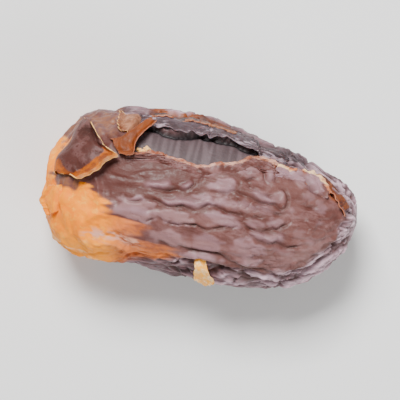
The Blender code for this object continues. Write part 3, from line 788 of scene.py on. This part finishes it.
# Materials.
class Paint:
    """Short names for the nodes of one material."""

    def __init__(self, name):
        self.material = bpy.data.materials.new(name)
        self.material.use_nodes = True
        self.nodes = self.material.node_tree.nodes
        self.links = self.material.node_tree.links
        self.shader = self.nodes["Principled BSDF"]
        self.place = self.nodes.new("ShaderNodeTexCoord").outputs["Object"]

    def put(self, socket, value):
        """Links a socket to an output, or sets it to a value."""
        if isinstance(value, bpy.types.NodeSocket):
            self.links.new(value, socket)
        else:
            socket.default_value = value

    def attribute(self, name):
        """A number kept on the mesh's points."""
        node = self.nodes.new("ShaderNodeAttribute")
        node.attribute_name = name
        return node.outputs["Fac"]

    def combine(self, operation, *values):
        """A Math node's result, held between 0 and 1."""
        node = self.nodes.new("ShaderNodeMath")
        node.operation = operation
        node.use_clamp = True
        for socket, value in zip(node.inputs, values):
            self.put(socket, value)
        return node.outputs[0]

    def times(self, first, second):
        return self.combine("MULTIPLY", first, second)

    def inverse(self, value):
        return self.combine("SUBTRACT", 1.0, value)

    def stretch(self, x, y, z):
        """Coordinates in which a pattern is finer where a number is larger."""
        node = self.nodes.new("ShaderNodeMapping")
        self.put(node.inputs["Vector"], self.place)
        node.inputs["Scale"].default_value = (x, y, z)
        return node.outputs[0]

    def grain(self, size_mm, detail=3.0, roughness=0.55, bend=0.0, place=None):
        """Noise of that size in millimetres, from 0 to 1."""
        node = self.nodes.new("ShaderNodeTexNoise")
        self.put(node.inputs["Vector"], place or self.place)
        node.inputs["Scale"].default_value = 1.0 / (size_mm * MM)
        node.inputs["Detail"].default_value = detail
        node.inputs["Roughness"].default_value = roughness
        node.inputs["Distortion"].default_value = bend
        return node.outputs["Fac"]

    def step(self, value, low, high):
        """0 below low and 1 above high."""
        node = self.nodes.new("ShaderNodeMapRange")
        node.interpolation_type = "SMOOTHSTEP"
        self.put(node.inputs["Value"], value)
        node.inputs["From Min"].default_value = low
        node.inputs["From Max"].default_value = high
        return node.outputs["Result"]

    def patches(self, low, high, size_mm, *grain, place=None):
        """Patches where noise of that size in millimetres rises from low to high."""
        return self.step(self.grain(size_mm, *grain, place=place), low, high)

    def mix(self, share, first, second):
        """first where share is 0 and second where it is 1, for colours or for numbers."""
        colour = not isinstance(first, float)
        node = self.nodes.new("ShaderNodeMix")
        node.data_type = "RGBA" if colour else "FLOAT"
        which = 6 if colour else 2
        self.put(node.inputs[0], share)
        self.put(node.inputs[which], first)
        self.put(node.inputs[which + 1], second)
        return node.outputs[2 if colour else 0]

    def over(self, colour, layer, name, share=1.0):
        """The layer over the colour, as far as the number of that name on the mesh's points says."""
        return self.mix(self.times(self.attribute(name), share), colour, layer)

    def bump(self, height, depth_mm, strength=1.0):
        """Roughness of the surface too fine for the mesh."""
        node = self.nodes.new("ShaderNodeBump")
        node.inputs["Strength"].default_value = strength
        node.inputs["Distance"].default_value = depth_mm * MM
        self.put(node.inputs["Height"], height)
        self.put(self.shader.inputs["Normal"], node.outputs["Normal"])

    def finish(self, colour, roughness, subsurface, sheen=0.0, gloss=0.3):
        """The finished material."""
        settings = {"Base Color": colour, "Roughness": roughness, "Specular IOR Level": gloss,
                    "Subsurface Weight": subsurface, "Subsurface Radius": (1.0, 0.4, 0.25),
                    "Subsurface Scale": SKIN_DEPTH * MM, "Sheen Weight": sheen,
                    "Sheen Roughness": 0.45, "Sheen Tint": (0.9, 0.8, 0.9, 1.0)}
        for name, value in settings.items():
            self.put(self.shader.inputs[name], value)
        return self.material


# How far light goes into the skin, in millimetres, and the colours.
SKIN_DEPTH = 1.2
PLATE_BROWN = (0.14, 0.054, 0.046, 1.0)
PLATE_RED = (0.09, 0.027, 0.021, 1.0)
# Paler skin between the creases, also the painted highlight on the fold crests.
PLATE_PALE_AND_HIGHLIGHT = (0.2, 0.09, 0.085, 1.0)
# Lilac bloom, also the painted highlight on the crests of the folds and wrinkles.
LILAC_BLOOM_HIGHLIGHT = (0.3, 0.165, 0.185, 1.0)
# Bloom with painted sheen on the plates.
PLATE_BLOOM_SHEEN = (0.25, 0.125, 0.125, 1.0)
# Painted shade in the grooves and creases.
GROOVE_SHADE = (0.055, 0.017, 0.012, 1.0)
FLANK_GREY = (0.24, 0.145, 0.165, 1.0)
FLANK_DARK = (0.06, 0.03, 0.032, 1.0)
# Painted highlight on the flank towards the tip and along its raised folds.
FLANK_HIGHLIGHT = (0.62, 0.42, 0.49, 1.0)
# Pale bloom with painted sheen on the flank's plates.
PALE_BLOOM_SHEEN = (0.42, 0.25, 0.27, 1.0)
FLESH_GREY = (0.12, 0.082, 0.088, 1.0)
FLESH_DARK = (0.072, 0.047, 0.05, 1.0)
STRIP_DARK = (0.05, 0.03, 0.033, 1.0)
STRIP_LILAC = (0.1, 0.066, 0.076, 1.0)
# Painted highlight streaks on the far lip and its rim.
STRIP_HIGHLIGHT = (0.36, 0.26, 0.3, 1.0)
SHADE = (0.008, 0.004, 0.005, 1.0)
AMBER = (1.0, 0.28, 0.0, 1.0)
AMBER_DEEP = (0.95, 0.225, 0.0, 1.0)
# Pale amber, also the painted light that makes the low side paler.
AMBER_PALE = (1.0, 0.4, 0.04, 1.0)
TONGUE_ORANGE = (0.6, 0.165, 0.05, 1.0)
TONGUE_BROWN = (0.34, 0.095, 0.045, 1.0)
# Pink, painted as highlight streaks on the amber skin and along the near lip's edge.
PINK_HIGHLIGHT = (0.68, 0.33, 0.23, 1.0)
LIP_PINK = (0.5, 0.2, 0.12, 1.0)
ORANGE = (0.4, 0.09, 0.004, 1.0)
ORANGE_BROWN = (0.22, 0.052, 0.012, 1.0)
WING_BROWN = (0.16, 0.04, 0.012, 1.0)
TAN = (0.22, 0.083, 0.042, 1.0)
TAN_PALE = (0.38, 0.165, 0.09, 1.0)
# Cream skin and torn rims, also the painted highlight on curled brims, lip edges and the amber skin's low
# rim.
CREAM_AND_HIGHLIGHT = (1.0, 0.62, 0.3, 1.0)
FOLD_DARK = (0.035, 0.011, 0.008, 1.0)
FOLD_BROWN = (0.075, 0.025, 0.02, 1.0)
FOLD_PALE = (0.125, 0.055, 0.05, 1.0)


def upper_colour(paint, streaks, plated):
    """Brown skin, redder beside the tear and paler between the creases, with a painted highlight on the
    fold crests and a lilac and pinkish bloom with painted sheen on the plates.
    """
    colour = paint.mix(paint.patches(0.38, 0.62, 3.2, 5.0, 0.65, 0.3, place=streaks),
                       PLATE_RED, PLATE_BROWN)
    pale = paint.patches(0.42, 0.66, 1.8, 4.0, 0.65, 0.5, place=streaks)
    # Paler between the creases, with a painted highlight on the crests.
    colour = paint.over(colour, PLATE_PALE_AND_HIGHLIGHT, "plate", pale)
    red = paint.patches(0.3, 0.5, 2.5, 4.0, place=streaks)
    colour = paint.over(colour, PLATE_RED, "warm", red)
    # Bloom with painted sheen on the plates.
    bloom = paint.mix(paint.patches(0.4, 0.6, 3.5, 3.0, place=streaks), LILAC_BLOOM_HIGHLIGHT, PLATE_BLOOM_SHEEN)
    return paint.mix(plated, colour, bloom)


def flank_colour(paint, streaks, plated, upper):
    """Grey skin on the flanks, with bloom and painted sheen on its plates, painted highlight on its
    crests, towards the tip and along its raised folds, and painted shade in its grooves.
    """
    grey = paint.mix(paint.patches(0.3, 0.7, 1.1, 4.0, 0.6, 0.0, place=streaks), FLANK_DARK, FLANK_GREY)
    colour = paint.over(upper, grey, "flank")
    colour = paint.over(colour, PALE_BLOOM_SHEEN, "flank", plated)
    # Painted highlight on the crests.
    colour = paint.over(colour, LILAC_BLOOM_HIGHLIGHT, "crest", 0.8)
    # Painted highlight on the flank and along its raised folds.
    shine = paint.patches(0.3, 0.5, 1.5, 3.0, place=paint.stretch(0.3, 0.8, 1.0))
    colour = paint.over(colour, FLANK_HIGHLIGHT, "sheen", shine)
    # Painted shade in the grooves and creases.
    return paint.over(colour, GROOVE_SHADE, "groove", 0.9)


def torn_colour(paint, colour):
    """The tan skin at the stem end, the layers at the tear's edges and the flesh in it."""
    tan = paint.mix(paint.patches(0.4, 0.6, 1.4, 4.0, 0.6, 0.6), PLATE_BROWN, TAN)
    colour = paint.over(colour, tan, "tan")
    colour = paint.over(colour, ORANGE_BROWN, "layer")
    fibres = paint.patches(0.4, 0.65, 0.7, 4.0, place=paint.stretch(0.15, 1.0, 1.0))
    colour = paint.over(colour, paint.mix(fibres, STRIP_DARK, STRIP_LILAC), "strip")
    colour = paint.over(colour, ORANGE_BROWN, "lip", paint.patches(0.45, 0.6, 1.4))
    ribs = paint.times(paint.grain(1.2, 4.0, place=paint.stretch(1.0, 0.35, 0.35)), 2.0)
    across = paint.step(paint.times(paint.attribute("rib"), ribs), 0.2, 0.85)
    return paint.over(colour, paint.mix(across, FLESH_DARK, FLESH_GREY), "bare")


def amber_colour(paint, streaks):
    """Thin amber skin, with orange tongues, painted light on its low side, painted pink highlight streaks
    and a painted highlight along its low rim.
    """
    amber = paint.mix(paint.patches(0.36, 0.58, 2.6, 4.0, 0.6, 0.8), AMBER_DEEP, AMBER)
    amber = paint.mix(paint.patches(0.5, 0.7, 1.2, 4.0, 0.6, 0.5), amber, AMBER_PALE)
    tongue = paint.mix(paint.patches(0.4, 0.6, 2.2, 4.0, place=streaks), TONGUE_BROWN, TONGUE_ORANGE)
    amber = paint.over(amber, tongue, "tongue")
    # Painted light that makes the low side paler.
    amber = paint.over(amber, AMBER_PALE, "low")
    amber = paint.over(amber, AMBER_DEEP, "crinkle", 0.2)
    # Painted pink highlight streaks.
    amber = paint.over(amber, PINK_HIGHLIGHT, "streak", paint.patches(0.42, 0.6, 0.7, 4.0, place=streaks))
    # Painted highlight along the low rim.
    return paint.over(amber, CREAM_AND_HIGHLIGHT, "rim_highlight", paint.patches(0.35, 0.55, 1.2, 3.0))


def body_material(name, gloss, sheen):
    """The skin and the bare flesh of the body."""
    paint = Paint(name)
    streaks = paint.stretch(0.35, 1.0, 1.0)
    plated = paint.times(paint.attribute("plated"), paint.patches(
        0.24, 0.44, 1.6, 5.0, 0.7, 0.4, place=streaks))
    colour = upper_colour(paint, streaks, plated)
    colour = torn_colour(paint, flank_colour(paint, streaks, plated, colour))
    colour = paint.over(colour, amber_colour(paint, streaks), "amber")
    colour = paint.over(colour, SHADE, "shade")
    roughness = paint.mix(paint.patches(0.35, 0.65, 0.9, 4.0), 0.4, 0.6)
    long_wrinkles = paint.grain(0.8, 5.0, 0.65, 0.6, paint.stretch(0.4, 1.0, 1.0))
    short_wrinkles = paint.grain(0.4, 4.0)
    wrinkles = paint.combine("ADD", paint.times(short_wrinkles, 0.4), paint.times(long_wrinkles, 0.6))
    paint.bump(wrinkles, 0.12, 0.9)
    return paint.finish(colour, roughness, 0.04, sheen, gloss)


def fold_material():
    """Brown skin, amber along its root and orange with a cream brim, a painted highlight, where its edge
    curls up.
    """
    paint = Paint("fold_skin")
    shift = paint.times(paint.grain(2.0, 4.0), 0.14)
    out = paint.combine("ADD", paint.attribute("out"), shift)
    along = paint.combine("ADD", paint.attribute("along"), shift)
    edge_band = paint.times(paint.step(out, 0.83, 0.86), paint.inverse(paint.step(along, 0.66, 0.74)))
    band = paint.combine("MAXIMUM", paint.inverse(paint.step(along, 0.27, 0.31)), edge_band)
    margin = paint.times(paint.inverse(paint.step(out, 0.26, 0.32)),
                         paint.inverse(paint.step(along, 0.6, 0.76)))
    face = paint.mix(paint.step(along, 0.6, 1.0), FOLD_BROWN, FOLD_DARK)
    face = paint.mix(paint.patches(0.45, 0.6, 2.4, 4.0, 0.6), face, FOLD_PALE)
    face = paint.mix(paint.patches(0.55, 0.68, 1.2, 3.0), face, FOLD_BROWN)
    amber = paint.mix(paint.patches(0.38, 0.58, 1.6, 4.0, 0.6, 0.6), AMBER_DEEP, AMBER)
    orange = paint.mix(paint.patches(0.4, 0.6, 1.1, 3.0), ORANGE, ORANGE_BROWN)
    # Painted highlight along the curled brim.
    cream = paint.mix(paint.patches(0.4, 0.6, 1.0, 3.0), AMBER_PALE, CREAM_AND_HIGHLIGHT)
    colour = paint.mix(band, face, paint.mix(paint.step(out, 0.99, 1.03), orange, cream))
    colour = paint.mix(margin, colour, amber)
    paint.bump(paint.grain(0.6, 5.0, 0.6), 0.12, 0.9)
    return paint.finish(colour, 0.42, 0.1, gloss=0.15)


def skin_material(name, dark, light, pale, stretch=(1.0, 1.0, 1.0), least=0.56):
    """Loose skin in three shades, with streaks where it is stretched. The lower least is, the
    more of it is pale."""
    paint = Paint(name)
    place = paint.stretch(*stretch)
    colour = paint.mix(paint.patches(0.4, 0.6, 1.5, 4.0, 0.6, 0.6, place=place), dark, light)
    colour = paint.mix(paint.patches(least, least + 0.14, 0.9, 4.0, 0.6, 0.0, place=place), colour, pale)
    paint.bump(paint.grain(0.6, 5.0, 0.6, 0.0, place), 0.12, 0.9)
    return paint.finish(colour, 0.42, 0.15, gloss=0.15)


def lip_material(name, skin, edge):
    """The two colours of the skin beside it, and two brighter ones along its torn edge."""
    paint = Paint(name)
    uneven = paint.times(paint.grain(1.2, 3.0), 0.4)
    brim = paint.step(paint.combine("ADD", paint.attribute("out"), uneven), 0.93, 1.03)
    patchy = paint.patches(0.4, 0.6, 1.3, 4.0, 0.6, 0.0, place=paint.stretch(0.4, 1.0, 1.0))
    colour = paint.mix(brim, paint.mix(patchy, *skin), paint.mix(patchy, *edge))
    paint.bump(paint.grain(0.5, 4.0), 0.08, 0.8)
    return paint.finish(colour, 0.45, 0.1)


def edge_material(name, dark, light):
    """The torn rim of a sheet of skin."""
    paint = Paint(name)
    return paint.finish(paint.mix(paint.grain(0.8, 2.0), dark, light), 0.5, 0.2)


def loose_skins():
    """The materials of the flaps and lips, by name."""
    along = (0.2, 1.0, 1.0)
    return {
        "fold": fold_material(),
        "wing": skin_material("wing_skin", WING_BROWN, ORANGE_BROWN, TAN, (1.0, 0.5, 1.0)),
        "sheet": skin_material("sheet_skin", TAN, TAN_PALE, TAN_PALE),
        "leaf": skin_material("amber_skin", AMBER_DEEP, AMBER, AMBER_PALE),
        "flake": skin_material("flake_skin", AMBER_PALE, CREAM_AND_HIGHLIGHT, AMBER_PALE, least=0.48),
        "rim": skin_material("rim_skin", FOLD_BROWN, WING_BROWN, TAN),
        # On the near and tip lips the paler colour along the torn edge is a painted highlight.
        "near": lip_material("near_lip_skin", (PLATE_RED, PLATE_PALE_AND_HIGHLIGHT), (TONGUE_BROWN, PINK_HIGHLIGHT)),
        # The far lip's pale streaks are painted highlights.
        "far": skin_material("far_lip_skin", STRIP_DARK, STRIP_LILAC, STRIP_HIGHLIGHT, along, 0.5),
        "layer": lip_material("layer_skin", (STRIP_DARK, WING_BROWN), (ORANGE_BROWN, TAN_PALE)),
        "tip": lip_material("tip_lip_skin", (PLATE_BROWN, LILAC_BLOOM_HIGHLIGHT), (TONGUE_ORANGE, CREAM_AND_HIGHLIGHT))}


# The scene round it.
def make_floor():
    """A pale table top under the fruit."""
    shape = bmesh.new()
    bmesh.ops.create_grid(shape, x_segments=1, y_segments=1, size=1.5)
    floor = new_object("floor", shape)
    paint = Paint("pale_floor")
    floor.data.materials.append(paint.finish((0.82, 0.82, 0.81, 1.0), 0.7, 0.0))


def make_light(name, place, size, power):
    """A square soft light that faces the fruit."""
    data = bpy.data.lights.new(name, "AREA")
    data.size = size
    data.energy = power
    lamp = bpy.data.objects.new(name, data)
    lamp.location = place
    lamp.rotation_euler = (-Vector(place)).to_track_quat("-Z", "Y").to_euler()
    bpy.context.scene.collection.objects.link(lamp)


def make_camera():
    """Looks straight down, turned so that the tip points right and a little down."""
    data = bpy.data.cameras.new("camera")
    data.lens = 250.0
    camera = bpy.data.objects.new("camera", data)
    camera.location = (0.0, 0.5 * MM, 0.445)
    camera.rotation_euler = (0.0, 0.0, math.radians(12.0))
    bpy.context.scene.collection.objects.link(camera)
    bpy.context.scene.camera = camera


def light_up():
    """A key light, a weaker fill light opposite it and an even white sky."""
    make_light("key", (-0.16, 0.3, 0.58), 0.24, 9.0)
    make_light("fill", (0.42, -0.32, 0.3), 0.4, 3.0)
    world = bpy.data.worlds.new("studio")
    world.use_nodes = True
    sky = world.node_tree.nodes["Background"]
    sky.inputs["Color"].default_value = (1.0, 1.0, 1.0, 1.0)
    sky.inputs["Strength"].default_value = 0.28
    bpy.context.scene.world = world


def dress_body(body):
    """Gives the body its skin, less glossy where it is amber."""
    body.data.materials.append(body_material("date_skin", 0.3, 0.05))
    body.data.materials.append(body_material("amber_part", 0.1, 0.0))
    amber_share = [value.value for value in body.data.attributes["amber"].data]
    for face in body.data.polygons:
        if min(amber_share[corner] for corner in face.vertices) > 0.5:
            face.material_index = 1


def dress_loose(piece, name, skins, rims):
    """Gives a flap or a lip its skin and the colour of its torn rim."""
    piece.data.materials.append(skins[name])
    piece.data.materials.append(rims.get(name, rims["other"]))


def main():
    body = make_body()
    dress_body(body)
    pieces = [body]
    skins = loose_skins()
    cream_rim = edge_material("torn_edge", AMBER_PALE, CREAM_AND_HIGHLIGHT)
    brown_rim = edge_material("lip_edge", TONGUE_BROWN, LIP_PINK)
    # The far lip's rim, lilac with painted highlight.
    lilac_rim = edge_material("strip_edge", STRIP_LILAC, STRIP_HIGHLIGHT)
    ground = ground_under(body)
    for name, flap in FLAPS.items():
        piece = make_flap(f"{name}_flap", flap, (FLAP_STEPS_ALONG, FLAP_STEPS_OUT))
        dress_loose(piece, name, skins, {"rim": brown_rim, "wing": brown_rim, "other": cream_rim})
        pieces.append(piece)
    for name, lip in LIPS.items():
        piece = make_flap(f"{name}_lip", lip, (LIP_STEPS_ALONG, LIP_STEPS_OUT), ground)
        dress_loose(piece, name, skins, {"far": lilac_rim, "other": brown_rim})
        pieces.append(piece)
    crumbs = make_crumbs(ground)
    crumbs.data.materials.append(cream_rim)
    pieces.append(crumbs)
    for piece in pieces:
        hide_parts("medjool_date")
        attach(piece, "root")
    make_floor()
    light_up()
    make_camera()


main()
